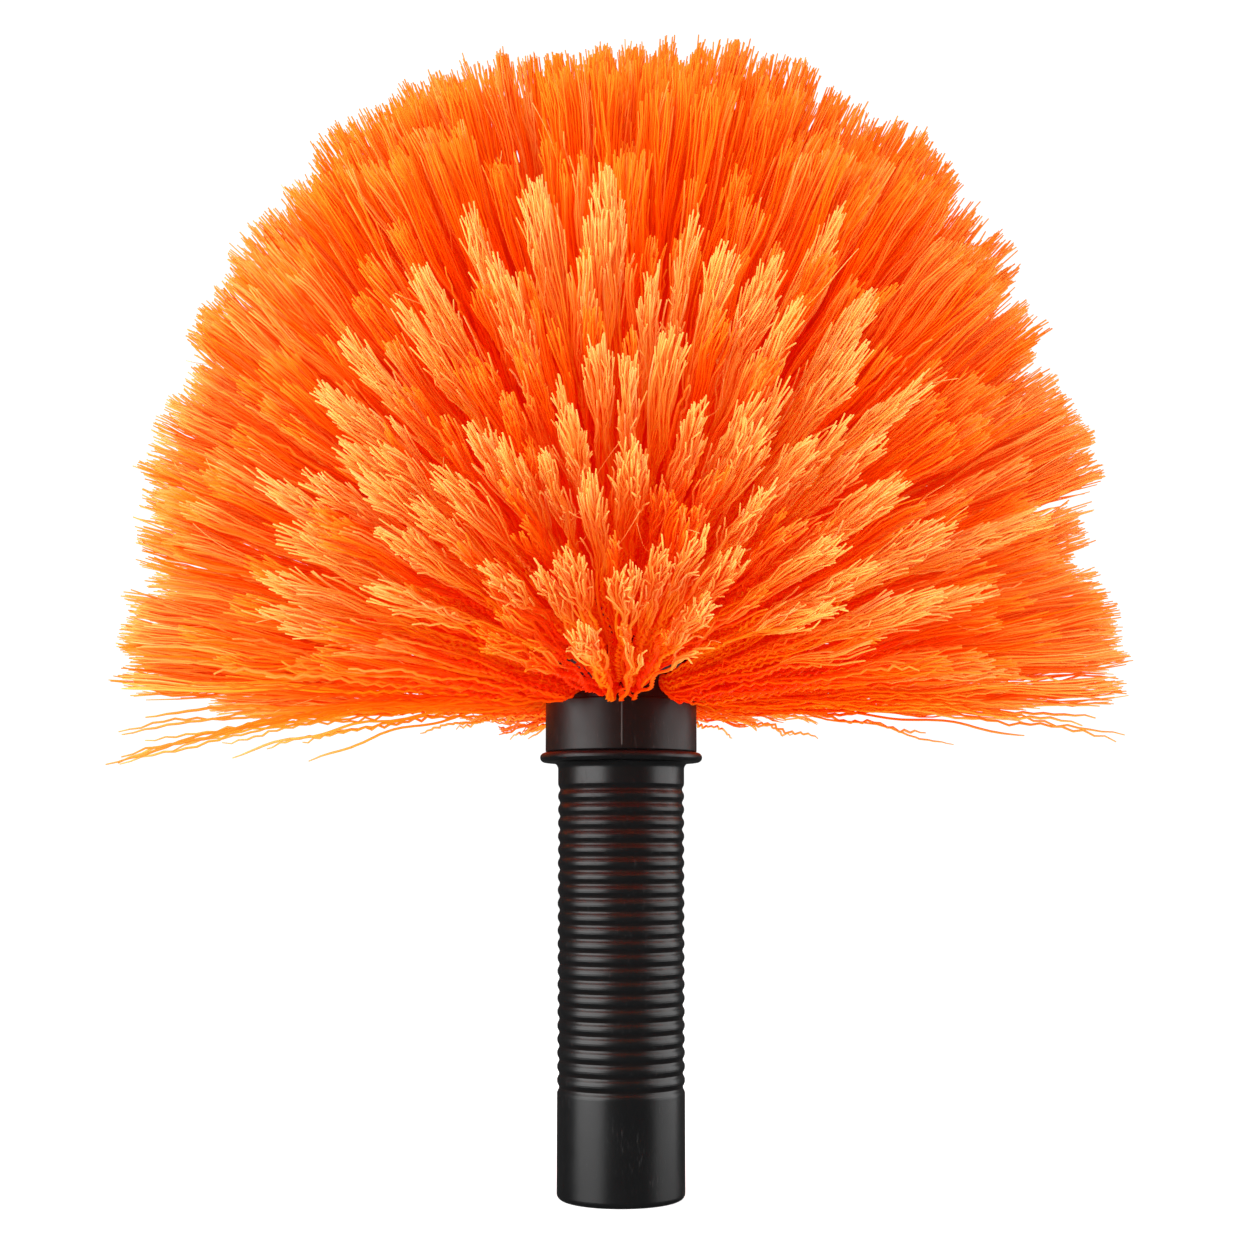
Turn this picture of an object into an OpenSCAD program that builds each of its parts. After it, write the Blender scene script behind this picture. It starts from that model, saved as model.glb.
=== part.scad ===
// Cobweb brush: a ribbed pole socket, a drilled head block and a dome of bristle tufts.
// Millimetres, +Z up. The origin is the centre of the pole socket's open end.

/* [Pole socket] */
// Diameter of the bore that takes the extension pole
pole_bore_d = 24; // [20:0.5:24.5]
// Depth of the bore, down to the shoulder that stops the pole
pole_bore_depth = 85; // [60:1:92]
// Diameter over the grip's ribs
grip_d = 30; // [29:0.5:33]
// Height of the flange's underside above the open end
grip_h = 101.3; // [99:0.1:120]
// Radius of the rounded rim at the open end
rim_round = 1.4; // [0.4:0.1:2]
// Radius of the cove between the grip and the flange
cove_r = 1.6; // [0.5:0.1:2.5]

/* [Grip ribs] */
// Height of the lowest groove
first_groove_z = 25.6; // [10:0.1:27]
// Number of grooves
groove_count = 23; // [4:1:23]
// Spacing of the grooves
groove_pitch = 3.15; // [2:0.05:3.2]
// Depth of a groove below the ribs
groove_depth = 0.5; // [0.1:0.05:0.9]

/* [Flange and collar] */
// Diameter of the flange
flange_d = 38.6; // [37:0.2:46]
// Thickness of the flange
flange_t = 2.3; // [1.6:0.1:4]
// Diameter of the head block's collar
collar_d = 36; // [35.5:0.1:36.8]
// Height of the collar
collar_h = 12.4; // [11:0.1:18]
// Radius on the collar's edges
collar_round = 0.5; // [0.2:0.1:1]
// Width of the mould parting ridge
ridge_w = 0.4; // [0.2:0.05:0.8]
// Height that the ridge stands proud
ridge_h = 0.12; // [0.05:0.01:0.3]

/* [Head core] */
// Diameter of the core above the collar
core_d = 34.5; // [34:0.1:35.4]
// Height of the core's straight part, below its round top
core_straight = 32; // [30:0.5:34]

/* [Tufts] */
// Diameter of a tuft's hole
hole_d = 5.8; // [4:0.1:6]
// Depth of a tuft's hole, measured along it
hole_depth = 6.8; // [5:0.1:7]
// Free length of the bristles that stand level, from the core to the tips
tuft_len = 101; // [95:1:140]
// How much longer the upright bristles are, which makes the dome taller than round
crown = 5; // [0:0.5:10]
// Holes in each row up to the shoulder of the core
row_holes = 9; // [7:1:9]
// Height of the lowest row above the collar
first_row_up = 3.4; // [3.3:0.1:4.5]
// Distance between rows, measured over the core's surface
row_pitch = 7.62; // [7.4:0.02:7.8]
// Upward lean of the lowest row
first_lean = 5; // [0:0.5:6]
// Lean of the highest row but one
last_lean = 72; // [70:0.5:75]
// How many times higher a tuft is at its tips than at its root
fan = 5.6; // [3:0.1:5.8]
// Share of the room between neighbours in its row that a tuft's tips take up
side_fill = 0.6; // [0.4:0.05:0.65]
// Thickness of a strand against the room that it has there
strand_fill = 0.6; // [0.2:0.02:0.6]
// How far a level tuft's tips droop
droop = 1.5; // [0:0.1:4]
// Most that a strand is shorter than the free length
trim_scatter = 4; // [0:0.5:8]

/* [Fixing screw] */
// Diameter of the spigot that enters the head block
spigot_d = 27; // [24:0.5:28]
// Wall of the spigot
spigot_wall = 3.5; // [2:0.5:4]
// Height of the spigot above the flange
spigot_h = 8; // [4:0.5:9]
// Thickness of the web that the screw goes through
web_t = 4; // [2:0.5:5]
// Diameter of the screw's shank
screw_d = 4; // [3:0.5:5]
// Length of the screw under its head
screw_len = 20; // [14:1:24]
// Thickness of the washer
washer_t = 1; // [0.6:0.2:1.6]

/* [Hidden] */
$fn = 96;

// Clearances
spigot_gap = 0.1;
screw_gap = 0.05;
web_hole_gap = 0.3;
plug_gap = 0.1;
anchor_gap = 0.05;
cut = 1;

// Heights up the brush
flange_z = grip_h;
seat_z = flange_z + flange_t;
collar_top_z = seat_z + collar_h;
dome_z = collar_top_z + core_straight;

// Radii
grip_r = grip_d / 2;
flange_r = flange_d / 2;
collar_r = collar_d / 2;
core_r = core_d / 2;
spigot_r = spigot_d / 2;
boss_r = spigot_r - spigot_wall - spigot_gap;

// Pole stop: the bore narrows to this above the pole, so a driver still reaches the screw
stop_ledge = 2.5;
access_r = pole_bore_d / 2 - stop_ledge;
web_z = seat_z - web_t;

// Screw and washer
head_r = screw_d * 0.95;
head_h = screw_d * 0.62;
slot_w = screw_d * 0.25;
slot_len = screw_d * 1.1;
slot_depth = head_h * 0.6;
washer_r = screw_d * 1.3;
washer_bore_r = screw_d / 2 + web_hole_gap;
screw_seat_z = web_z - washer_t;
pilot_over = 1.5;

// Rows of tufts: the lower rows run up the core, and one more tuft stands on its top
lean_rows = 7;
lean_step = (last_lean - first_lean) / (lean_rows - 1);
shoulder_row = 4;
dome_drop = 3;
function row_up(k) = first_row_up + k * row_pitch;
function dome_angle(k) = max(0, (row_up(k) - core_straight) / core_r * 180 / PI);
function holes_in_row(k) = row_holes - dome_drop * max(0, k - shoulder_row);
function row_r(k) = core_r * cos(dome_angle(k));
function row_z(k) = collar_top_z + min(row_up(k), core_straight) + core_r * sin(dome_angle(k));
front = -90;
function front_turn(k) = front + row_shift[k] * 360 / holes_in_row(k);

// Each row is turned by a share of its own spacing, so that its tufts stand over the gaps below
row_shift = [0, 1 / 2, 0, 1 / 2, 0, 1 / 6, 1 / 3];

// A tuft is [name, azimuth, radius, height, lean, slope of the core under it, seed, row]
seeds_per_row = 20;
leaning_tufts = [
    for (k = [0 : lean_rows - 1], i = [0 : holes_in_row(k) - 1])
        [str("row", k + 1, "_tuft", i + 1), front_turn(k) + i * 360 / holes_in_row(k),
         row_r(k), row_z(k), first_lean + k * lean_step, dome_angle(k), seeds_per_row * k + i, k]
];
upright = 90;
top_tuft = [str("row", lean_rows + 1, "_tuft1"), front, 0, dome_z + core_r,
            upright, upright, seeds_per_row * lean_rows, lean_rows];
tufts = concat(leaning_tufts, [top_tuft]);
function tuft_name(t) = t[0];
function tuft_azimuth(t) = t[1];
function tuft_radius(t) = t[2];
function tuft_height(t) = t[3];
function tuft_lean(t) = t[4];
function tuft_slope(t) = t[5];
function tuft_seed(t) = t[6];
function tuft_row(t) = t[7];

// Wire anchor across the bottom of a hole: it bites into the wall at both ends
anchor_bite = 0.6;
anchor_len = hole_d + 2 * anchor_bite;
anchor_t = 0.4;
anchor_h = 1.8;
anchor_turn = 60;

// Root of a tuft: a plug that stands on its anchor and just clears the hole's mouth
sides = 8;
plug_r = hole_d / 2 - plug_gap;
plug_core_r = plug_r / 2;
plug_low = -hole_depth + anchor_h + anchor_gap;
mouth_clear = 0.5;
function plug_top(t) = hole_d / 2 * tan(abs(tuft_lean(t) - tuft_slope(t))) + mouth_clear;

// Strands bend once on the way out, each a little to its own side
bend_at = 0.55;
bend_side = 0.8;

// Widest spread of a tuft sideways, where a row has few holes
side_most = 9;

function sum(v, i = 0) = i == len(v) - 1 ? v[i] : v[i] + sum(v, i + 1);
function mean(v) = sum(v) / len(v);

// The plug's top is one middle point, an inner ring and a rim, so it has eight wedges.
// A four-sided strand grows from the outer part of every second wedge, and a three-sided
// one from the inner part of the wedges between, so no two strands share an edge.
function inner(i) = 1 + i % sides;
function rim(i) = 1 + sides + i % sides;
function low(i) = 1 + 2 * sides + i % sides;
function outer_cell(i) = [rim(i), rim(i + 1), inner(i + 1), inner(i)];
function inner_cell(i) = [0, inner(i), inner(i + 1)];
function has_outer_strand(i) = i % 2 == 0;
function strand_cell(i) = has_outer_strand(i) ? outer_cell(i) : inner_cell(i);
function flat_cell(i) = has_outer_strand(i) ? inner_cell(i) : outer_cell(i);

function plug_ring(r, z, turn) = [
    for (i = [0 : sides - 1])
        let (a = turn + i * 360 / sides)
            [r * cos(a), r * sin(a), z]
];

// Random shares for one tuft: how much is trimmed off each strand, where each bends, and the tuft's own turn
function tuft_random(t) = rands(0, 1, 3 * sides + 1, tuft_seed(t));
function plug_points(t) =
    let (turn = tuft_random(t)[3 * sides] * 360 / sides, top = plug_top(t))
        concat([[0, 0, top]], plug_ring(plug_core_r, top, turn),
               plug_ring(plug_r, top, turn), plug_ring(plug_r, plug_low, turn));

// A tuft's free length, and how many times it spreads sideways to fill its place in the row
function free_len(t) = tuft_len + crown * pow(sin(tuft_lean(t)), 2);
function half_place(t) = PI * (tuft_radius(t) + free_len(t) * cos(tuft_lean(t))) / holes_in_row(tuft_row(t));
function side_fan(t) = max(fan, min(side_most, side_fill * half_place(t) / plug_r));

// One ring of a strand, a share s of the way to its tip. It spreads faster than it thickens,
// so it keeps inside the room over its own cell.
function grown(scale, s) = 1 + (scale - 1) * s;
function strand_ring(t, root, reach, s, side) =
    let (
        middle = mean(root),
        spread = [grown(fan, s), grown(side_fan(t), s)],
        thick = [grown(spread[0], strand_fill), grown(spread[1], strand_fill), 1],
        sag = droop * cos(tuft_lean(t)) * s * s
    )
        [for (p = root)
            [middle[0] * spread[0] + sag + side[0], middle[1] * spread[1] + side[1],
             middle[2] + (reach - middle[2]) * s]
            + [for (axis = [0 : 2]) thick[axis] * (p[axis] - middle[axis])]];

function strand_points(t, i) =
    let (
        plug = plug_points(t),
        root = [for (c = strand_cell(i)) plug[c]],
        random = tuft_random(t),
        middle = mean(root),
        trimmed = free_len(t) - trim_scatter * random[i],
        reach = sqrt(pow(trimmed, 2) - pow(middle[0] * fan, 2) - pow(middle[1] * side_fan(t), 2)),
        side = bend_side * [random[sides + i] - 0.5, random[2 * sides + i] - 0.5]
    )
        concat(strand_ring(t, root, reach, bend_at, side), strand_ring(t, root, reach, 1, [0, 0]));

// Each pair of wedges has a four-sided strand and a three-sided one, with two rings apiece
function first_point(i) = 1 + 3 * sides + 14 * floor(i / 2) + (has_outer_strand(i) ? 0 : 8);
function run(from, n) = [for (i = [0 : n - 1]) from + i];
function walls(lower, upper) = [
    for (i = [0 : len(lower) - 1])
        let (j = (i + 1) % len(lower))
            each [[lower[i], upper[i], upper[j]], [lower[i], upper[j], lower[j]]]
];
function lid(ring) = [for (i = [1 : len(ring) - 2]) [ring[0], ring[i + 1], ring[i]]];
function floor_of(ring) = [for (i = [1 : len(ring) - 2]) [ring[0], ring[i], ring[i + 1]]];

plug_faces = concat(
    walls([for (i = [0 : sides - 1]) low(i)], [for (i = [0 : sides - 1]) rim(i)]),
    floor_of([for (i = [0 : sides - 1]) low(i)]),
    [for (i = [0 : sides - 1]) each lid(flat_cell(i))]
);
strand_faces = [
    for (i = [0 : sides - 1])
        let (n = len(strand_cell(i)), bend = run(first_point(i), n), tip = run(first_point(i) + n, n))
            each concat(walls(strand_cell(i), bend), walls(bend, tip), lid(tip))
];

module tuft(t) {
    color("#ff6a18")
        at_tuft(t)
            polyhedron(points = concat(plug_points(t), [for (i = [0 : sides - 1]) each strand_points(t, i)]),
                       faces = concat(plug_faces, strand_faces));
}

// Outline of the ribbed grip, from its lowest groove to its highest
rib_steps = 8;
groove_sharp = 1.5;
function rib_r(turn) = grip_r - groove_depth * pow((1 + cos(360 * turn)) / 2, groove_sharp);
rib_points = [
    for (i = [0 : groove_count * rib_steps])
        let (turn = (i - rib_steps / 2) / rib_steps)
            [rib_r(turn), first_groove_z + turn * groove_pitch]
];

function arc(centre, r, from, to, n = 8) = [
    for (i = [0 : n])
        let (a = from + (to - from) * i / n)
            centre + r * [cos(a), sin(a)]
];

socket_outline = concat(
    [[0, 0]],
    arc([grip_r - rim_round, rim_round], rim_round, -90, 0),
    rib_points,
    arc([grip_r + cove_r, flange_z - cove_r], cove_r, 180, 90),
    arc([flange_r - flange_t / 2, flange_z + flange_t / 2], flange_t / 2, -90, 90, 12),
    [[spigot_r, seat_z], [spigot_r, seat_z + spigot_h], [0, seat_z + spigot_h]]
);

head_outline = concat(
    [[0, seat_z]],
    arc([collar_r - collar_round, seat_z + collar_round], collar_round, -90, 0),
    arc([collar_r - collar_round, collar_top_z - collar_round], collar_round, 0, 90),
    [[core_r, collar_top_z]],
    arc([0, dome_z], core_r, 0, 90, 24)
);

// The ridge that the mould's two halves leave, front and back
module parting_ridge(r, z, h) {
    translate([-ridge_w / 2, -r - ridge_h, z])
        cube([ridge_w, 2 * (r + ridge_h), h]);
}

module at_tuft(t) {
    a = tuft_azimuth(t);
    r = tuft_radius(t);
    translate([r * cos(a), r * sin(a), tuft_height(t)])
        rotate([0, 90 - tuft_lean(t), a])
            children();
}

module anchor(gap) {
    rotate([0, 0, anchor_turn])
        translate([-anchor_len / 2 - gap, -anchor_t / 2 - gap, -hole_depth])
            cube([anchor_len + 2 * gap, anchor_t + 2 * gap, anchor_h + gap]);
}

module tuft_hole(t) {
    at_tuft(t) {
        translate([0, 0, -hole_depth])
            cylinder(h = hole_depth + plug_top(t) + cut, r = hole_d / 2);
        anchor(anchor_gap);
    }
}

module handle_socket() {
    color("#222427")
        difference() {
            union() {
                rotate_extrude()
                    polygon(socket_outline);
                parting_ridge(flange_r, flange_z + flange_t / 4, flange_t / 2);
            }
            translate([0, 0, -cut])
                cylinder(h = pole_bore_depth + cut, r = pole_bore_d / 2);
            translate([0, 0, pole_bore_depth - cut])
                cylinder(h = web_z - pole_bore_depth + cut, r = access_r);
            cylinder(h = seat_z + cut, r = washer_bore_r);
            translate([0, 0, seat_z])
                cylinder(h = spigot_h + cut, r = spigot_r - spigot_wall);
        }
}

module head_block() {
    color("#1a1614")
        difference() {
            union() {
                rotate_extrude()
                    polygon(head_outline);
                parting_ridge(collar_r, seat_z + collar_round, collar_h - 2 * collar_round);
            }
            difference() {
                translate([0, 0, seat_z - cut])
                    cylinder(h = spigot_h + spigot_gap + cut, r = spigot_r + spigot_gap);
                cylinder(h = collar_top_z, r = boss_r);
            }
            translate([0, 0, seat_z - cut])
                cylinder(h = cut + screw_seat_z + screw_len + pilot_over - seat_z, r = screw_d / 2 + screw_gap);
            for (t = tufts)
                tuft_hole(t);
        }
}

module fixing_screw() {
    color("silver")
        difference() {
            union() {
                translate([0, 0, screw_seat_z - head_h])
                    cylinder(h = head_h, r = head_r);
                translate([0, 0, screw_seat_z])
                    cylinder(h = screw_len, r = screw_d / 2);
            }
            for (turn = [0, 90])
                rotate([0, 0, turn])
                    translate([-slot_len / 2, -slot_w / 2, screw_seat_z - head_h - cut])
                        cube([slot_len, slot_w, slot_depth + cut]);
        }
}

module screw_washer() {
    color("gainsboro")
        translate([0, 0, screw_seat_z])
            difference() {
                cylinder(h = washer_t, r = washer_r);
                translate([0, 0, -cut])
                    cylinder(h = washer_t + 2 * cut, r = washer_bore_r);
            }
}

module tuft_anchors() {
    color("lightgrey")
        for (t = tufts)
            at_tuft(t)
                anchor(0);
}

for (t = tufts)
    tuft(t);
handle_socket();
head_block();
fixing_screw();
screw_washer();
tuft_anchors();
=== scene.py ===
import math

import bpy
import numpy as np
from mathutils import Matrix, Vector


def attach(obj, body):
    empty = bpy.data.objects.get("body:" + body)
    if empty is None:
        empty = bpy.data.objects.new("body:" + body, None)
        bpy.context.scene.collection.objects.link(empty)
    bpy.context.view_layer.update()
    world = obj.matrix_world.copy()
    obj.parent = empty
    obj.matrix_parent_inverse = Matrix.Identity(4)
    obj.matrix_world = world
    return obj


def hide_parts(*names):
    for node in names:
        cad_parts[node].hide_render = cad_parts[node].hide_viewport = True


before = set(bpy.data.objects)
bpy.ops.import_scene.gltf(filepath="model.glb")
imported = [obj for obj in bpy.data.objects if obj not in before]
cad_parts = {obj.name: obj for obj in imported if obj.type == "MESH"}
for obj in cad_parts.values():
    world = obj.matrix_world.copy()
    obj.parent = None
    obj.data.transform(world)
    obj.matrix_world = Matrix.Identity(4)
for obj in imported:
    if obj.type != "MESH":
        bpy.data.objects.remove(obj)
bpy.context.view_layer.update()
scene = bpy.context.scene
scene.view_settings.view_transform = "Standard"
print("frame loaded:", len(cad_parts), "nodes")


view = {
    "distance": 0.477,   # from the brush's axis
    "height": 0.082,
    "side": 0.0014,
    "pitch": 6.2,        # degrees upwards
    "lens": 57.4,
    "sensor": 36,
}
photoSize = 1254         # pixels along the photograph's side

camera = bpy.data.objects.new("camera", bpy.data.cameras.new("camera"))
scene.collection.objects.link(camera)
camera.data.lens = view["lens"]
camera.data.sensor_width = view["sensor"]
camera.data.clip_start = 0.01
camera.location = (view["side"], -view["distance"], view["height"])
camera.rotation_euler = (math.radians(90 + view["pitch"]), 0, 0)
scene.camera = camera


class Value:
    # A socket of a material that Python's own signs work on
    def __init__(self, maker, socket):
        self.maker, self.socket = maker, socket

    def sum(self, operation, *values):
        return self.maker.add("ShaderNodeMath", {"operation": operation}, dict(enumerate(values)))

    def __add__(self, other): return self.sum("ADD", self, other)
    def __radd__(self, other): return self.sum("ADD", other, self)
    def __sub__(self, other): return self.sum("SUBTRACT", self, other)
    def __rsub__(self, other): return self.sum("SUBTRACT", other, self)
    def __mul__(self, other): return self.sum("MULTIPLY", self, other)
    def __rmul__(self, other): return self.sum("MULTIPLY", other, self)
    def __truediv__(self, other): return self.sum("DIVIDE", self, other)
    def floor(self): return self.sum("FLOOR", self)
    def size(self): return self.sum("ABSOLUTE", self)
    def cosine(self): return self.sum("COSINE", self)

    def between(self, low, high):
        return self.maker.add("ShaderNodeMapRange", {"interpolation_type": "SMOOTHSTEP"},
                              {"Value": self, "From Min": low, "From Max": high})

    def __getitem__(self, name):
        return Value(self.maker, self.socket.node.outputs[name])


class Finish:
    # One material and the node tree behind it
    def __init__(self, name, **sockets):
        self.material = bpy.data.materials.new(name)
        self.material.use_nodes = True
        self.tree = self.material.node_tree
        self.tree.nodes.clear()
        self.shader = self.add("ShaderNodeBsdfPrincipled", {}, sockets)
        self.output = self.tree.nodes.new("ShaderNodeOutputMaterial").inputs["Surface"]
        self.put(self.output, self.shader)

    def add(self, kind, settings, values):
        node = self.tree.nodes.new(kind)
        for name, setting in settings.items():
            if name == "stops":
                self.setStops(node.color_ramp, setting)
            else:
                setattr(node, name, setting)
        for name, value in values.items():
            self.put(node.inputs[name], value)
        return Value(self, node.outputs[0]) if node.outputs else None

    def put(self, socket, value):
        if isinstance(value, Value):
            self.tree.links.new(value.socket, socket)
        else:
            socket.default_value = value

    def setStops(self, ramp, stops):
        while len(ramp.elements) > 1:
            ramp.elements.remove(ramp.elements[-1])
        for i, (place, colour) in enumerate(stops):
            stop = ramp.elements[0] if i == 0 else ramp.elements.new(place)
            stop.position, stop.color = place, (*colour, 1)

    def set(self, name, value):
        self.put(self.shader.socket.node.inputs[name], value)

    def place(self):
        return self.add("ShaderNodeTexCoord", {}, {})["Object"]

    def noise(self, where, scale, detail=2, rough=0.5):
        return self.add("ShaderNodeTexNoise", {},
                        {"Vector": where, "Scale": scale, "Detail": detail, "Roughness": rough})

    def mix(self, share, first, second, blend="MIX"):
        node = self.tree.nodes.new("ShaderNodeMix")
        node.data_type, node.blend_type = "RGBA", blend
        self.put(node.inputs["Factor"], share)
        for name, value in (("A", first), ("B", second)):
            colour = [s for s in node.inputs if s.name == name and s.type == "RGBA"][0]
            self.put(colour, value if isinstance(value, Value) else (*value, 1))
        return Value(self, [s for s in node.outputs if s.type == "RGBA"][0])


def deselectAll():
    for piece in bpy.context.selected_objects:
        piece.select_set(False)


studio = {
    "seen": 1.1,             # the white room behind the brush
    "daylight": 0.4,         # and the light that it gives
    "mirrored": 0.06,        # and what the black plastic mirrors of it
    "floorSize": 6.0,
    "paper": ((0.79, 0.79, 0.79), (0.82, 0.82, 0.82)),
    "floorGlow": 0.72,       # the floor is a lit white table
    "aimHeight": 0.13,       # the lamps point at the middle of the brush
    "left": {"place": (-1.03, -0.62, 0.45), "size": (1.4, 1.3), "power": 23},
    "right": {"place": (1.2, 0.02, 0.45), "size": (1.4, 1.3), "power": 14},
    "front": {"place": (0, -1.85, 0.35), "size": (1.3, 1.3), "power": 31},
}


def makeStage():
    deselectAll()
    bpy.ops.mesh.primitive_plane_add(size=studio["floorSize"], location=(0, 0, 0))
    floor = bpy.context.object
    floor.name = "floor"
    paper = Finish("paper", Roughness=0.9)
    fleck = paper.noise(paper.place(), 40, 3)
    paper.set("Base Color", paper.mix(fleck, *studio["paper"]))
    paper.set("Specular IOR Level", 0.1)
    paper.set("Emission Color", (1, 1, 1, 1))
    paper.set("Emission Strength", studio["floorGlow"])
    paper.material.cycles.emission_sampling = "NONE"
    floor.data.materials.append(paper.material)
    floor.visible_glossy = False     # so the socket mirrors a dark studio, not the paper

    world = bpy.data.worlds.new("studio")
    scene.world = world
    world.use_nodes = True
    nodes, links = world.node_tree.nodes, world.node_tree.links
    path = nodes.new("ShaderNodeLightPath")
    strength = None
    for ray, low, high in (("Is Glossy Ray", studio["daylight"], studio["mirrored"]),
                           ("Is Camera Ray", 0, studio["seen"])):
        choice = nodes.new("ShaderNodeMapRange")
        choice.inputs["To Min"].default_value = low
        choice.inputs["To Max"].default_value = high
        links.new(path.outputs[ray], choice.inputs["Value"])
        if strength:
            links.new(strength, choice.inputs["To Min"])
        strength = choice.outputs["Result"]
    links.new(strength, nodes["Background"].inputs["Strength"])
    nodes["Background"].inputs["Color"].default_value = (1, 1, 1, 1)


def addLight(name, glossy=True):
    box = studio[name]
    lamp = bpy.data.objects.new(name, bpy.data.lights.new(name, "AREA"))
    scene.collection.objects.link(lamp)
    lamp.data.shape = "RECTANGLE"
    lamp.data.size, lamp.data.size_y = box["size"]
    lamp.data.energy = box["power"]
    lamp.location = box["place"]
    aim = Vector((0, 0, studio["aimHeight"])) - lamp.location
    lamp.rotation_euler = aim.to_track_quat("-Z", "Y").to_euler()
    lamp.visible_glossy = glossy


makeStage()
addLight("left")
addLight("right")
addLight("front", glossy=False)
print("stage and lights made")


mm = 0.001
mapColumns = 64     # of each strand's own map, from deep to pale orange
# The head block's rows of holes, from the collar up, as the part's own source has them
brush = {
    "rowHoles": (9, 9, 9, 9, 9, 6, 3, 1),
    "rowShift": (0, 1 / 2, 0, 1 / 2, 0, 1 / 6, 1 / 3, 0),      # in steps from one hole to the next
    "rowLean": (5, 16.17, 27.33, 38.5, 49.67, 60.83, 72, 90),  # degrees above level
    "rowRadius": (17.25, 17.25, 17.25, 17.25, 17.15, 14.7, 9.43, 0),
    "rowHeight": (119.4, 127.02, 134.64, 142.26, 149.88, 157.03, 162.41, 165.25),
}
tuft = {
    "length": 101.8,       # from the hole's mouth, in mm as all the rest
    "crown": 7.5,          # how much longer the upright ones are
    "splitAt": (0.56, 0.74),   # share of its length at which a strand splits into fibres
    "depth": 4.0,          # down the hole
    "holeRadius": 2.4,
    "across": 26,          # half the tuft's width at its tips, along its row
    "topRows": 5,          # from this row up there are fewer tufts, so they are wider
    "topAcross": 32,
    "upDown": 15,          # and half its height
    "topUpDown": 22,
    "roomShare": 0.85,     # of the way to the next tuft that its tips reach
    "frontReach": 1.25,    # front tufts spread further sideways, to close the gap to the next
    "underside": 0.6,      # the lowest row's share of its height below its middle
    "bulge": 1.9,          # how far the bunch swells where it leaves the hole
    "topBulge": 3.4,
    "sag": (2.6, 1.4),     # of the two lowest rows, over the collar's edge
    "halfCrimp": 1.65,     # between one bend of a crimped strand and the next
    "crimpHeight": 0.42,
    "bends": 34,           # of a crimped strand
    "wavyPoints": 16,      # along a strand that isn't crimped
    "waveHeight": 0.5,
    "waveLength": (22, 46),
    "drift": 0.6,          # how far a strand's tip strays
    "droop": 1.2,          # of a level strand's tip
    "spring": (0.07, 0.13),    # share of the length over which the bunch swells, low rows and others
    "ragged": 15,          # how far the shortest fibres fall short
    "frontFill": (0.56, 1.2),  # strands between heads: the least share, and the share seen side on
    "headTotal": 1.2,      # strands of a tuft that has heads, against one that hasn't
    "headStems": (6, 20),  # fewest and most strands of a head
    "headWidth": 0.68,     # share of a head's photographed width that its stems stand in
    "headTaper": (11, 25), # how much shorter a head is at its edge
    "lockStems": (1, 6),   # the other bunches have 1 to 5 strands
    "lockShort": 4.5,      # how far the shortest of them falls short
    "fibreSpread": 0.95,
    "fibreSteps": (0, 0.17, 0.34, 0.51, 0.68, 0.85, 1),
    "fibreRadii": (0.17, 0.25, 0.27, 0.27, 0.26, 0.24, 0.16),
    "stepBack": (2, 12),   # how far the strands between the front heads fall short of them
    "flare": 0.7,          # how far a head's fibres turn outwards at their tips
    "fray": 0.25,
    "pale": (0.52, 0.52, 0.5, 0.42, 0.32, 0.2, 0.16, 0.16),    # how pale each row is, 0 to 1: painted light, the low rows that face the viewer paler and the top rows deeper, for how the light falls on them
    "deeper": 0.44,        # painted shade: how much less pale the strands between the front heads are
    # painted light: how pale the strands of the heads are, which face the viewer
    "headPale": 0.92,
    "hairs": 6,            # loose and curly
    "loners": 8,           # thick strands that lie apart from the rest
    "lonerRadius": 0.38,
    "lonerPoints": 42,
    "strays": (0, 3, 5, 4, 4, 4, 7, 9, 4),         # that hang below each tuft of the lowest row
    "strayDrop": (0, 4, 13, 12, 6, 6, 18, 20, 7),  # and how far the lowest hangs
}
# Strands of a tuft, how many more it has without heads, the share of them that is crimped,
# the fibres that each splits into, and its radius
kinds = (
    {"rows": (0, 1), "stems": 42, "fuller": 1.22, "crimped": 1.0, "splits": 8, "thick": 0.43},
    {"rows": (2, 3), "stems": 52, "fuller": 1.22, "crimped": 0.5, "splits": 8, "thick": 0.40},
    {"rows": (4,), "stems": 62, "fuller": 1, "crimped": 0.2, "splits": 8, "thick": 0.38},
    {"rows": (5, 6, 7), "stems": 100, "fuller": 1, "crimped": 0.1, "splits": 8, "thick": 0.36},
)

# Heads of the bunches that face the photograph's viewer: across, down and width, in its pixels
photoHeads = (
    (562, 546, 30), (533, 556, 18), (590, 468, 28), (632, 436, 48), (577, 622, 26), (625, 560, 34),
    (661, 536, 22), (702, 528, 24), (737, 547, 28), (712, 590, 22), (764, 418, 30), (816, 432, 28),
    (774, 482, 28), (888, 428, 38), (850, 412, 22), (905, 474, 34), (846, 530, 30), (882, 558, 24),
    (845, 595, 22), (957, 520, 38), (952, 588, 30), (1000, 580, 26), (1050, 508, 26), (467, 414, 28),
    (500, 434, 26), (537, 436, 20), (437, 464, 34), (480, 554, 34), (378, 520, 34), (412, 494, 26),
    (355, 465, 30), (372, 434, 26), (340, 436, 24), (253, 472, 34), (276, 522, 34), (258, 572, 34),
    (250, 602, 24), (368, 578, 26), (496, 262, 34), (465, 206, 16), (537, 182, 34), (604, 182, 44),
    (582, 248, 24), (596, 330, 20), (630, 354, 24), (556, 376, 18), (566, 406, 20), (420, 272, 36),
    (345, 332, 22), (322, 384, 28), (400, 300, 24), (656, 262, 20), (676, 322, 38), (726, 246, 30),
    (690, 220, 18), (772, 262, 42), (800, 296, 28), (841, 206, 18), (872, 290, 34), (866, 342, 26),
    (786, 370, 20), (756, 386, 22), (701, 396, 20), (925, 372, 24), (300, 468, 22),
)


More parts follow.
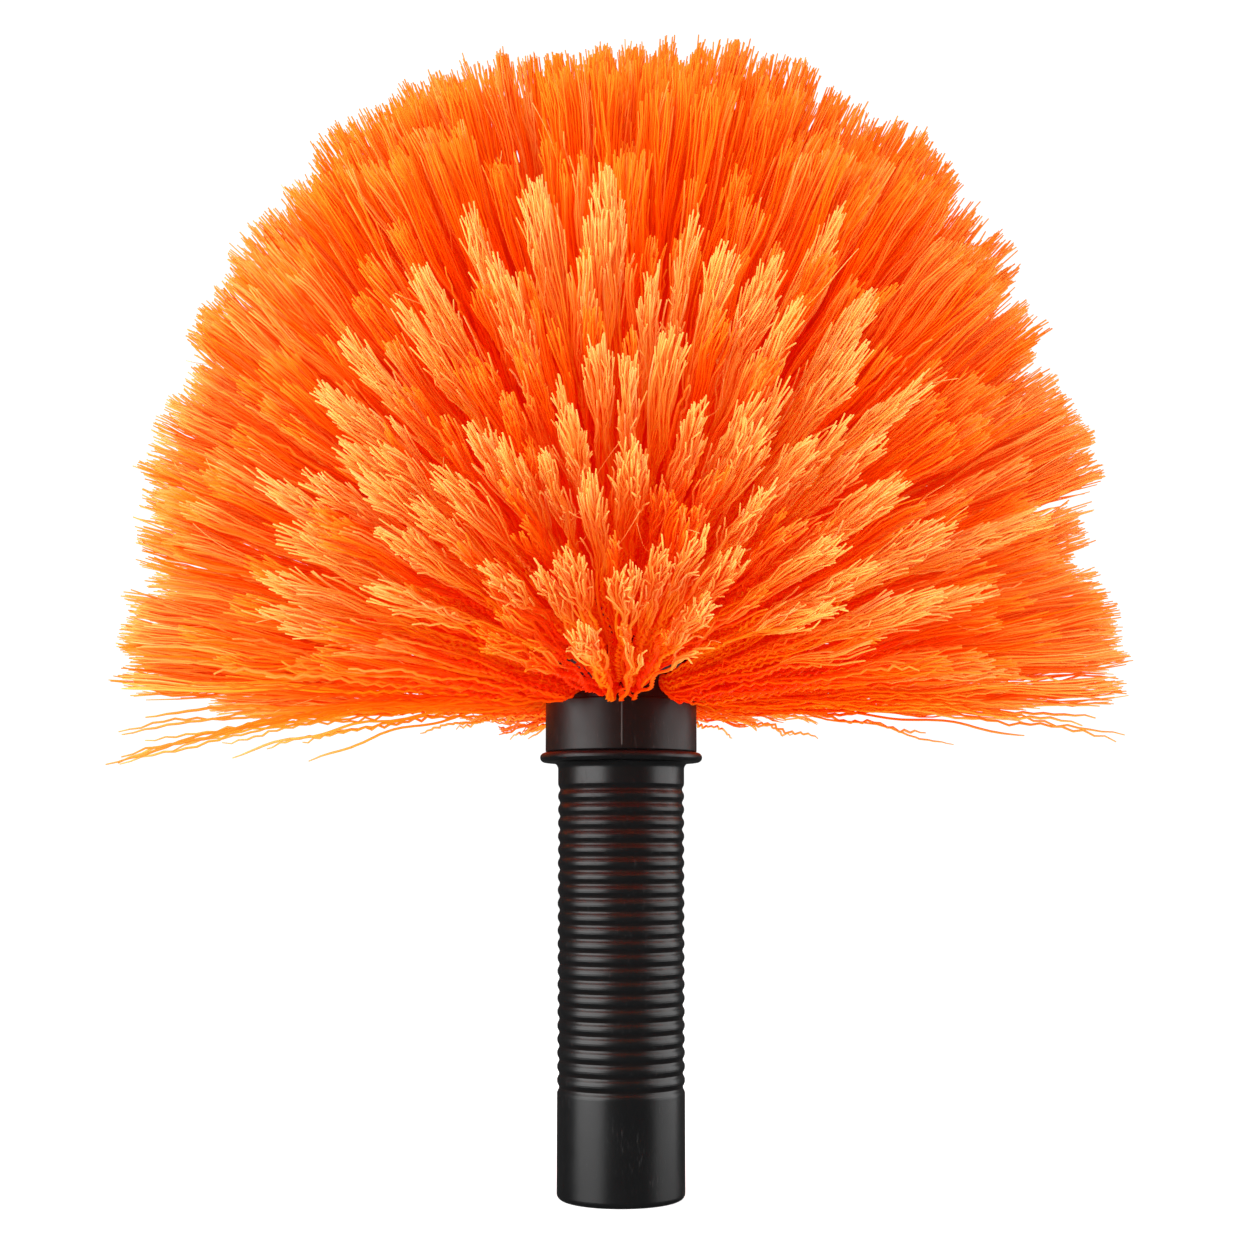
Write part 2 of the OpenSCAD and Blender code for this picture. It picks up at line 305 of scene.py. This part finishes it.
def tuftPlaces():
    # name, row, place of the hole's mouth, axes downwards, sideways and outwards, seed
    places = []
    for k, holes in enumerate(brush["rowHoles"]):
        for i in range(holes):
            turn = math.radians(-90 + (brush["rowShift"][k] + i) * 360 / holes)
            mouth = Vector((brush["rowRadius"][k] * math.cos(turn),
                            brush["rowRadius"][k] * math.sin(turn), brush["rowHeight"][k]))
            lean = math.radians(90 - brush["rowLean"][k])
            axes = Matrix.Rotation(turn, 3, "Z") @ Matrix.Rotation(lean, 3, "Y")
            places.append((f"row{k + 1}_tuft{i + 1}", k, mouth, axes, 100 * k + i))
    return places


def headsOfTufts(places):
    # Each head goes to the tuft that points closest to it, as its place on that tuft's tips
    # and its radius
    focal = view["lens"] / view["sensor"] * photoSize
    eye = Vector(camera.location) / mm
    turned = camera.rotation_euler.to_matrix()
    heads = {place[0]: [] for place in places}
    for x, y, width in photoHeads:
        ray = (turned @ Vector((x - photoSize / 2, photoSize / 2 - y, -focal))).normalized()
        best = None
        for name, row, mouth, axes, seed in places:
            gap = eye - mouth
            b = gap.dot(ray)
            room = b * b - gap.length_squared + tuft["length"] ** 2
            if room < 0:
                continue
            far = -b - math.sqrt(room)
            local = axes.transposed() @ (eye + far * ray - mouth)
            off = local.angle(Vector((0, 0, 1)))
            if best is None or off < best[0]:
                best = (off, name, local, far)
        off, name, local, far = best
        scale = tuft["length"] / local.z
        heads[name].append((local.x * scale, local.y * scale, width / 2 * far / focal))
    return heads


def stemEnds(random, row, kind, heads, facing):
    # Where each strand ends on the dome: the heads first, then the rest, spread over an oval.
    # shorts says how far a strand falls short, and tapers how much more at a bunch's edge
    holes = brush["rowHoles"][row]
    lean = math.radians(brush["rowLean"][row])
    half = math.pi * (brush["rowRadius"][row] + tuft["length"] * math.cos(lean)) / holes
    isTop = row >= tuft["topRows"]
    upDown = tuft["topUpDown" if isTop else "upDown"]
    across = min(tuft["topAcross" if isTop else "across"], max(tuft["roomShare"] * half, upDown))
    oval = np.array([upDown, across])
    tips, locks, radii, tapers, shorts = [], [], [], [], []
    fill = round(kind["stems"] * kind["fuller"])
    if heads:
        least, sideOn = tuft["frontFill"]
        fill = round(kind["stems"] * min(1, max(least, sideOn - facing)))
    weight = sum(r ** 1.5 for x, y, r in heads)
    for x, y, r in heads:
        count = round((kind["stems"] * tuft["headTotal"] - fill) * r ** 1.5 / weight)
        count = min(max(count, tuft["headStems"][0]), tuft["headStems"][1])
        tips += [(x, y)] * count
        locks += list(disc(random, count) * r * tuft["headWidth"])
        radii += [r] * count
        tapers += [random.uniform(*tuft["headTaper"])] * count
        shorts += [0] * count
    inHeads = len(tips)
    reachTo = oval * (1, tuft["frontReach"]) if heads and facing > 0.3 else oval
    taken = [np.array(tip) + lock for tip, lock in zip(tips, locks)]
    while len(tips) < inHeads + fill:
        turn, reach = random.uniform(0, 2 * math.pi, 14), np.sqrt(random.uniform(0, 1, 14))
        spots = np.stack([reach * np.cos(turn), reach * np.sin(turn)], axis=1) * reachTo
        if row == 0:
            spots[:, 0] = np.minimum(spots[:, 0], tuft["underside"] * upDown)
        if taken:
            gaps = np.linalg.norm((spots[:, None] - np.array(taken)[None]) / oval, axis=2)
            spots = spots[np.argsort(gaps.min(axis=1))]
        taken.append(spots[-1])
        count = random.integers(*tuft["lockStems"])
        width = 0.4 + 0.95 * math.sqrt(count)
        tips += [spots[-1]] * count
        locks += list(disc(random, count) * width)
        radii += [width + 1] * count
        tapers += [random.uniform(0, 6)] * count
        back = random.uniform(*tuft["stepBack"]) if heads and facing > 0.4 else 0
        shorts += [back + tuft["lockShort"] * random.uniform(0, 1) ** 2] * count
    return {"tip": np.array(tips, float), "lock": np.array(locks), "spread": np.array(radii),
            "taper": np.array(tapers), "short": np.array(shorts), "oval": oval, "inHeads": inHeads}


def tubes(lines, radii):
    # Closed three-sided tubes along many lines of as many points: lines is strands x points x 3
    strands, points, _ = lines.shape
    ahead = np.gradient(lines, axis=1)
    ahead /= np.linalg.norm(ahead, axis=2, keepdims=True) + 1e-12
    mean = lines[:, -1] - lines[:, 0]
    mean /= np.linalg.norm(mean, axis=1, keepdims=True)
    side = np.cross(mean, np.array([0.31, 0.95, 0.05]))
    side /= np.linalg.norm(side, axis=1, keepdims=True)
    u = side[:, None, :] - ahead * np.sum(ahead * side[:, None, :], axis=2, keepdims=True)
    u /= np.linalg.norm(u, axis=2, keepdims=True)
    v = np.cross(ahead, u)
    rings = []
    for corner in range(3):
        a = 2 * math.pi * corner / 3
        rings.append(lines + radii[:, :, None] * (math.cos(a) * u + math.sin(a) * v))
    verts = np.stack(rings, axis=2).reshape(-1, 3)      # strand, point, corner
    base = (np.arange(strands) * points * 3)[:, None, None]
    p = (np.arange(points - 1) * 3)[None, :, None]
    c = np.arange(3)[None, None, :]
    n = (c + 1) % 3
    quads = np.stack([base + p + c, base + p + n, base + p + 3 + n, base + p + 3 + c], axis=3)
    quads = quads.reshape(-1, 4)
    start = (np.arange(strands) * points * 3)[:, None]
    last = start + (points - 1) * 3
    ends = np.concatenate([start + np.array([[2, 1, 0]]), last + np.array([[0, 1, 2]])])
    return verts, quads, ends


def meshOf(name, parts):
    # parts: (lines, radii, u of each strand's column, its width, v of each point of each strand)
    verts, faceVerts, faceSizes, uvs, offset = [], [], [], [], 0
    for lines, radii, column, width, along in parts:
        points, quads, ends = tubes(lines, radii)
        strands, steps = along.shape
        verts.append(points)
        faceVerts += [(quads + offset).ravel(), (ends + offset).ravel()]
        faceSizes += [np.full(len(quads), 4), np.full(len(ends), 3)]
        side = np.broadcast_to(np.arange(3)[None, None, :], (strands, steps - 1, 3))
        low = column[:, None, None] + width * side / 3
        high = low + width / 3
        v0 = np.broadcast_to(along[:, :-1, None], low.shape)
        v1 = np.broadcast_to(along[:, 1:, None], low.shape)
        uvs.append(np.stack([np.stack([low, v0], 3), np.stack([high, v0], 3),
                             np.stack([high, v1], 3), np.stack([low, v1], 3)], axis=3).reshape(-1, 2))
        for v, nudge in ((along[:, 0], 0.004), (along[:, -1], -0.004)):
            corners = np.stack([np.stack([column, v], 1), np.stack([column + width, v], 1),
                                np.stack([column + width / 2, v + nudge], 1)], axis=1)
            uvs.append(corners.reshape(-1, 2))
        offset += len(points)
    verts, faceVerts = np.concatenate(verts), np.concatenate(faceVerts)
    faceSizes = np.concatenate(faceSizes)
    mesh = bpy.data.meshes.new(name)
    mesh.vertices.add(len(verts))
    mesh.vertices.foreach_set("co", (verts * mm).astype(np.float32).ravel())
    mesh.loops.add(len(faceVerts))
    mesh.loops.foreach_set("vertex_index", faceVerts.astype(np.int32))
    mesh.polygons.add(len(faceSizes))
    mesh.polygons.foreach_set("loop_start", np.concatenate([[0], np.cumsum(faceSizes)[:-1]]).astype(np.int32))
    mesh.update(calc_edges=True)
    mesh.polygons.foreach_set("use_smooth", np.ones(len(faceSizes), bool))
    layer = mesh.uv_layers.new(name="OFBake")
    layer.data.foreach_set("uv", np.concatenate(uvs).astype(np.float32).ravel())
    mesh.validate()
    return mesh


def disc(random, count):
    # Points spread evenly over a unit disc, each moved a little
    turn = np.arange(count) * 2.39996 + random.uniform(0, 6.28)
    reach = np.sqrt((np.arange(count) + 0.5) / count)
    spots = np.stack([reach * np.cos(turn), reach * np.sin(turn)], axis=1)
    return spots + random.normal(0, 0.24 / math.sqrt(count), spots.shape)


def layOut(random, row, tip, lock):
    # What a strand's course depends on, for strands that end at these places on the dome
    count = len(tip)
    lean = math.radians(brush["rowLean"][row])
    reach = np.linalg.norm(tip, axis=1, keepdims=True)
    own = disc(random, count)[random.permutation(count)]
    inward = tip / np.maximum(reach, 1e-6) * np.minimum(1, reach / 16)
    return {
        "length": np.full(count, tuft["length"] + tuft["crown"] * math.sin(lean) ** 2),
        "root": (inward * 0.68 + own * 0.32) * tuft["holeRadius"],
        "tip": tip,
        "lock": lock,
        "turn": random.uniform(0, 6.28, (count, 2)),
        "period": random.uniform(*tuft["waveLength"], (count, 2)),
        "drift": random.normal(0, tuft["drift"], (count, 2)),
        "droop": np.full(count, tuft["droop"] * math.cos(lean)),
        "sag": np.full(count, tuft["sag"][row] if row < 2 else 0.0),
        "bulge": np.full(count, tuft["topBulge" if row >= tuft["topRows"] else "bulge"]),
        "spring": np.full(count, tuft["spring"][0 if row < 2 else 1]),
    }


def courses(lay, along):
    # Places of points at these distances out of the hole, in the tuft's own axes
    length = lay["length"][:, None]
    s = along / length
    outside = np.clip(s, 0, 1.1)[:, :, None]
    rise = np.minimum(outside / lay["spring"][:, None, None], 1)
    swell = np.sin(rise * math.pi / 2) * (1 - outside)
    way = lay["root"] / (np.linalg.norm(lay["root"], axis=1, keepdims=True) + 0.5)
    line = lay["root"][:, None, :] * (1 - outside) + lay["tip"][:, None, :] * outside
    line = line + lay["bulge"][:, None, None] * way[:, None, :] * swell
    spread = 0.22 * np.minimum(outside / 0.05, 1) + 0.78 * outside ** 0.85
    line = line + lay["lock"][:, None, :] * spread
    wave = np.sin(2 * math.pi * along[:, :, None] / lay["period"][:, None, :] + lay["turn"][:, None, :])
    line = line + tuft["waveHeight"] * wave * np.clip(along / 12, 0, 1)[:, :, None]
    line = line + lay["drift"][:, None, :] * outside ** 2
    fall = lay["droop"][:, None] * outside[:, :, 0] ** 2 + lay["sag"][:, None] * swell[:, :, 0]
    line[:, :, 0] += fall
    width = np.linalg.norm(lay["tip"] + lay["lock"], axis=1)[:, None]
    out = along / np.sqrt(1 + (width / length) ** 2)     # so wide strands end on the dome too
    return np.concatenate([line, out[:, :, None]], axis=2)


def takeFrom(lay, rows):
    return {name: values[rows] for name, values in lay.items()}


def zigzag(along):
    # Left and right by turns, from nothing inside the hole
    turns = np.where(np.arange(along.shape[1]) % 2 == 0, 1.0, -1.0)[None, :]
    return turns * np.clip((along + 2) / 3, 0, 1)


def headings(random, count):
    # Directions across a strand, one for each
    turn = random.uniform(0, 2 * math.pi, count)
    return np.stack([np.cos(turn), np.sin(turn)], axis=1)[:, None, :]


def makeTuft(name, row, mouth, axes, seed, heads, finish):
    random = np.random.default_rng(7000 + seed)
    kind = [k for k in kinds if row in k["rows"]][0]
    parts = []
    turn = np.array(axes)

    def put(lines, radii, pale, along, end):
        column = np.clip(np.floor(pale * mapColumns), 0, mapColumns - 1)
        v = 0.02 + 0.95 * np.clip(along / end[:, None], 0, 1)
        placed = lines @ turn.T + np.array(mouth)
        parts.append((placed, radii, column / mapColumns, 1 / mapColumns, v))

    facing = -turn[1, 2]     # how far the tuft points at the photograph's viewer
    ends = stemEnds(random, row, kind, heads, facing)
    oval, inHeads, count = ends["oval"], ends["inHeads"], len(ends["tip"])
    lay = layOut(random, row, ends["tip"], ends["lock"])
    split = lay["length"] * random.uniform(*tuft["splitAt"], count)
    thick = kind["thick"] * random.uniform(0.85, 1.15, count)
    # Each strand's paleness: painted light by row and on the heads, painted shade on the strands between the
    # front heads, and some at random
    rowLightAndShade = tuft["pale"][row] - tuft["deeper"] * min(max(facing * 1.6, 0), 1)
    pale = np.where(np.arange(count) < inHeads, tuft["headPale"], rowLightAndShade)
    pale = pale + random.normal(0, 0.24 if row < 2 else 0.18, count)

    # stems, crimped like a zigzag or only wavy
    crimped = random.uniform(0, 1, count) < kind["crimped"] + 0.4 * (np.arange(count) < inHeads)
    for rows, isCrimped in ((np.flatnonzero(crimped), True), (np.flatnonzero(~crimped), False)):
        if not len(rows):
            continue
        some = takeFrom(lay, rows)
        reach = split[rows][:, None]
        if isCrimped:
            step = tuft["halfCrimp"] * random.uniform(0.92, 1.12, (len(rows), 1))
            along = -tuft["depth"] + step * np.arange(tuft["bends"])[None, :]
            last = along[:, -1:]
            rest = (np.maximum(reach, last + 4) - last) * np.array([[0.4, 0.75, 1]])
            along = np.concatenate([along, last + rest], axis=1)
            side = zigzag(along)
            side = side * np.clip((84 - along) / 40, 0.25, 1) * random.uniform(0.7, 1.2, along.shape)
            side = side * tuft["crimpHeight"] * random.uniform(0.55, 1.15, (len(rows), 1))
        else:
            steps = np.linspace(0, 1, tuft["wavyPoints"])[None, :]
            along = -tuft["depth"] + (reach + tuft["depth"]) * steps
            side = random.normal(0, 0.3, along.shape) * np.clip((along + 2) / 8, 0, 1)
        lines = courses(some, along)
        lines[:, :, :2] += headings(random, len(rows)) * side[:, :, None]
        radii = thick[rows][:, None] * np.clip(0.8 + along / 20, 0.8, 1)
        radii = radii * np.clip((reach + 14 - along) / 26, 0.5, 1)
        put(lines, radii, pale[rows], along, some["length"])

    # each stem splits into fibres
    which = np.repeat(np.arange(count), kind["splits"])
    fibres = takeFrom(lay, which)
    number = len(which)
    offset = random.normal(0, tuft["fibreSpread"], (number, 2))
    outward = fibres["lock"] + offset
    edge = np.linalg.norm(outward, axis=1) / ends["spread"][which]
    isHead = which < inHeads
    shortBy = np.where(random.uniform(0, 1, number) < 0.8, random.uniform(0, 2.5, number),
                       tuft["ragged"] * random.uniform(0, 1, number) ** 1.6)
    taper = ends["taper"][which] * np.clip(edge - 0.15, 0, 1.1) ** 1.2
    shortBy = shortBy + ends["short"][which] + taper
    start = split[which] - random.uniform(2, 12, number)
    end = np.maximum(fibres["length"] - shortBy, start + 8)
    share = np.array(tuft["fibreSteps"])[None, :]
    along = start[:, None] + (end - start)[:, None] * share
    lines = courses(fibres, along)
    lines[:, :, :2] += offset[:, None, :] * (share ** 0.8)[:, :, None]
    uneven = random.normal(0, 0.2, (number, share.shape[1], 2))
    lines[:, :, :2] += uneven * np.clip(share * 4, 0, 1)[:, :, None]
    outward /= np.linalg.norm(outward, axis=1, keepdims=True) + 0.5
    flare = (tuft["flare"] * isHead)[:, None, None] * outward[:, None, :]
    lines[:, :, :2] += flare * (share ** 4)[:, :, None]
    lines[:, -1, :] += random.normal(0, tuft["fray"], (number, 3))
    radii = np.array(tuft["fibreRadii"])[None, :] * random.uniform(0.85, 1.2, (number, 1))
    put(lines, radii, pale[which] + random.normal(0, 0.12, number), along, end)

    # thick strands that lie apart, and those that hang from the lowest row
    strays = tuft["strays"][seed % 100] if row == 0 else 0
    number = tuft["loners"] + strays
    apart = headings(random, number)[:, 0] * oval * random.uniform(0.5, 1.0, (number, 1))
    if row == 0:
        apart[:, 0] = np.minimum(apart[:, 0], tuft["underside"] * oval[0])
    apart[tuft["loners"]:, 0] = tuft["underside"] * oval[0]
    apart[tuft["loners"]:, 1] = np.linspace(-0.8, 0.8, strays) * oval[1]
    apart[tuft["loners"]:, 1] += random.uniform(-3, 3, strays)
    lay = layOut(random, row, apart, np.zeros((number, 2)))
    if strays:
        drop = tuft["strayDrop"][seed % 100] * random.uniform(0.3, 1, strays)
        lay["droop"][tuft["loners"]:] += drop
    cutAt = np.concatenate([random.uniform(0.62, 0.97, tuft["loners"]),
                            random.uniform(0.86, 0.99, strays)])
    end = lay["length"] * cutAt
    steps = np.linspace(0, 1, tuft["lonerPoints"])[None, :]
    along = -tuft["depth"] + (end + tuft["depth"])[:, None] * steps
    side = zigzag(along)
    side = side * random.uniform(0.3, 1.1, along.shape) * 0.38 + random.normal(0, 0.16, along.shape)
    lines = courses(lay, along)
    lines[:, :, :2] += headings(random, number) * side[:, :, None]
    radii = tuft["lonerRadius"] * random.uniform(0.85, 1.15, (number, 1))
    radii = radii * np.clip((end[:, None] + 8 - along) / 16, 0.5, 1)
    put(lines, radii, rowLightAndShade + random.uniform(0, 0.4, number), along, end)

    # loose curly hairs
    hairs = tuft["hairs"]
    chosen = random.integers(0, count, hairs)
    lay = layOut(random, row, ends["tip"][chosen], ends["lock"][chosen])
    share = np.linspace(0, 1, 9)[None, :]
    along = lay["length"][:, None] * random.uniform(0.45, 0.8, (hairs, 1))
    along = along + share * random.uniform(12, 26, (hairs, 1))
    along = np.minimum(along, lay["length"][:, None] + 2)
    way = headings(random, hairs)
    curl = random.uniform(-2.6, 2.6, (hairs, 1))
    lines = courses(lay, along)
    lines[:, :, :2] += way * (random.uniform(3, 8, (hairs, 1)) * share ** 1.3)[:, :, None]
    swing = 1.3 * (np.sin(share * 5 + curl) - np.sin(curl))
    lines[:, :, :2] += way[:, :, ::-1] * swing[:, :, None]
    radii = np.broadcast_to(np.linspace(0.14, 0.09, 9)[None, :], along.shape)
    put(lines, radii, np.full(hairs, 0.9), along, along[:, -1])

    mesh = meshOf(name, parts)
    piece = bpy.data.objects.new("bristle_" + name, mesh)
    scene.collection.objects.link(piece)
    mesh.materials.append(finish)
    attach(piece, "root")
    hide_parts(name)
    return sum(len(p.vertices) - 2 for p in mesh.polygons)


bristleLook = {
    # Both ramps run from root to tip: the darker red towards the root is painted shade deep inside the bunch,
    # the paler tips are painted light
    "deep": [(0.0, (0.86, 0.034, 0.0)), (0.3, (0.87, 0.040, 0.0)), (0.55, (0.90, 0.066, 0.0)),
             (0.75, (0.93, 0.14, 0.001)), (0.88, (0.94, 0.24, 0.006)), (1.0, (0.95, 0.32, 0.022))],
    "pale": [(0.0, (0.96, 0.24, 0.001)), (0.3, (0.96, 0.29, 0.002)), (0.5, (0.97, 0.40, 0.008)),
             (0.66, (0.97, 0.56, 0.04)), (0.8, (0.97, 0.67, 0.11)), (1.0, (0.97, 0.70, 0.23))],
    # Painted glow: a red emission along each strand that stands in for the light strands pass on to each
    # other, so shade between them stays red
    "glow": [(0.0, (0.34, 0.002, 0.0)), (0.5, (0.36, 0.005, 0.0)),
             (0.75, (0.40, 0.018, 0.0)), (1.0, (0.31, 0.022, 0.0))],
    "glowStrength": 0.55,               # painted glow, in place of the light that strands pass on to each other
    "shade": (0.98, 0.7, 0.5),          # the tint of the darker strands
    "through": (0.96, 0.22, 0.003),     # light that passes through a strand
    "throughShare": 0.35,
}


def bristleFinish():
    # Read from the strand's own map: columns from deep to pale orange, each from root to tip, darker at the
    # root as painted shade and paler at the tip as painted light
    made = Finish("orange bristle", Roughness=0.55)
    uv = made.add("ShaderNodeUVMap", {"uv_map": "OFBake"}, {})
    parts = made.add("ShaderNodeSeparateXYZ", {}, {"Vector": uv})
    column, along = (parts["X"] * mapColumns).floor(), parts["Y"]
    tint = made.add("ShaderNodeTexWhiteNoise", {"noise_dimensions": "1D"}, {"W": column})["Value"]
    shade = made.add("ShaderNodeTexWhiteNoise", {"noise_dimensions": "1D"}, {"W": column + 200})["Value"]
    place = along + (tint - 0.5) * 0.16
    deep = made.add("ShaderNodeValToRGB", {"stops": bristleLook["deep"]}, {"Fac": place})
    pale = made.add("ShaderNodeValToRGB", {"stops": bristleLook["pale"]}, {"Fac": place})
    colour = made.mix(column / (mapColumns - 1), deep, pale)
    colour = made.mix(shade * 0.4, colour, bristleLook["shade"], "MULTIPLY")
    made.set("Base Color", colour)
    made.set("Specular IOR Level", 0.05)
    made.set("Specular Tint", (1, 0.6, 0.3, 1))
    # painted glow along the strand, in place of light passed on between strands
    glow = made.add("ShaderNodeValToRGB", {"stops": bristleLook["glow"]}, {"Fac": along})
    made.set("Emission Color", glow)
    made.set("Emission Strength", bristleLook["glowStrength"])
    made.material.cycles.emission_sampling = "NONE"
    through = made.add("ShaderNodeBsdfTranslucent", {}, {"Color": (*bristleLook["through"], 1)})
    share = bristleLook["throughShare"]
    made.put(made.output, made.add("ShaderNodeMixShader", {}, {0: share, 1: made.shader, 2: through}))
    return made.material


bristle = bristleFinish()
places = tuftPlaces()
heads = headsOfTufts(places)
triangles = [makeTuft(*place, heads[place[0]], bristle) for place in places]
print("bristles made, triangles:", sum(triangles), "most in one:", max(triangles))


# Both black parts. Heights are in metres
black = {
    "handle_socket": {"plain": (0.0032, 0.0034, 0.0037), "scuffed": (0.014, 0.014, 0.0145),
                      "rough": 0.33},
    "head_block": {"plain": (0.0032, 0.0027, 0.0025), "scuffed": (0.024, 0.021, 0.02),
                   "rough": 0.42},
    "grooves": (0.0240, 0.0965),        # from the lowest to the highest
    "firstGroove": 0.0256,
    "pitch": 0.00315,
    # painted reflection: a reddish tint in the grooves, standing in for the orange bristles mirrored in them
    "inGroove": (0.005, 0.003, 0.0028),
    "collar": (0.1046, 0.1162),
    "partingLine": 0.0002,              # how far it stands off the middle
    "line": (0.09, 0.085, 0.08),
    "soft": 0.0004,                     # how gently the painted reflection in the grooves begins and ends
}


def plasticFinish(node):
    look = black[node]
    made = Finish(node.replace("_", " ") + " plastic")
    where = made.place()
    parts = made.add("ShaderNodeSeparateXYZ", {}, {"Vector": where})
    x, y, z = parts["X"], parts["Y"], parts["Z"]
    cloud = made.noise(where, 110, 3)
    grain = made.noise(where, 2400, 2)
    drawn = made.add("ShaderNodeMapping", {},
                     {"Vector": where, "Rotation": (0.3, 0.5, 0), "Scale": (1, 1, 0.22)})
    scuff = made.noise(drawn, 1500, 4, 0.65).between(0.56, 0.72) * cloud.between(0.42, 0.6)
    colour = made.mix(scuff, look["plain"], look["scuffed"])
    if node == "handle_socket":
        # painted reflection of the orange bristles, as a reddish tint in every groove
        turn = (z - black["firstGroove"]) * (2 * math.pi / black["pitch"])
        low, high = black["grooves"]
        soft = black["soft"]
        reflectionMask = turn.cosine().between(0.1, 0.9) * z.between(low, low + soft)
        reflectionMask = reflectionMask * (1 - z.between(high, high + soft))
        colour = made.mix(reflectionMask * 0.8, colour, black["inGroove"])
    else:
        low, high = black["collar"]
        line = 1 - (x - black["partingLine"]).size().between(0.00006, 0.00022)
        line = line * (0 - y).between(0.012, 0.016)      # at the front alone
        line = line * z.between(low, low + 0.0003) * (1 - z.between(high - 0.0003, high))
        colour = made.mix(line * 0.8, colour, black["line"])
    made.set("Base Color", colour)
    made.set("Roughness", look["rough"] + (cloud - 0.5) * 0.18 + (grain - 0.5) * 0.1 + scuff * 0.12)
    bump = {"Strength": 0.25, "Distance": 0.00005, "Height": grain * 0.6 + cloud + scuff}
    made.set("Normal", made.add("ShaderNodeBump", {}, bump))
    return made.material


def steelFinish():
    made = Finish("steel", Metallic=1.0)
    drawn = made.add("ShaderNodeMapping", {}, {"Vector": made.place(), "Scale": (1, 1, 0.1)})
    lines = made.noise(drawn, 3000, 3)
    cloud = made.noise(made.place(), 300, 3)
    made.set("Base Color", made.mix(cloud, (0.50, 0.50, 0.49), (0.66, 0.65, 0.63)))
    made.set("Roughness", 0.22 + lines * 0.2)
    return made.material


steel = steelFinish()
finishes = {"handle_socket": plasticFinish("handle_socket"), "head_block": plasticFinish("head_block"),
            "fixing_screw": steel, "screw_washer": steel, "tuft_anchors": steel}
for node, finish in finishes.items():
    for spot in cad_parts[node].material_slots:
        spot.material = finish
print("finishes set")
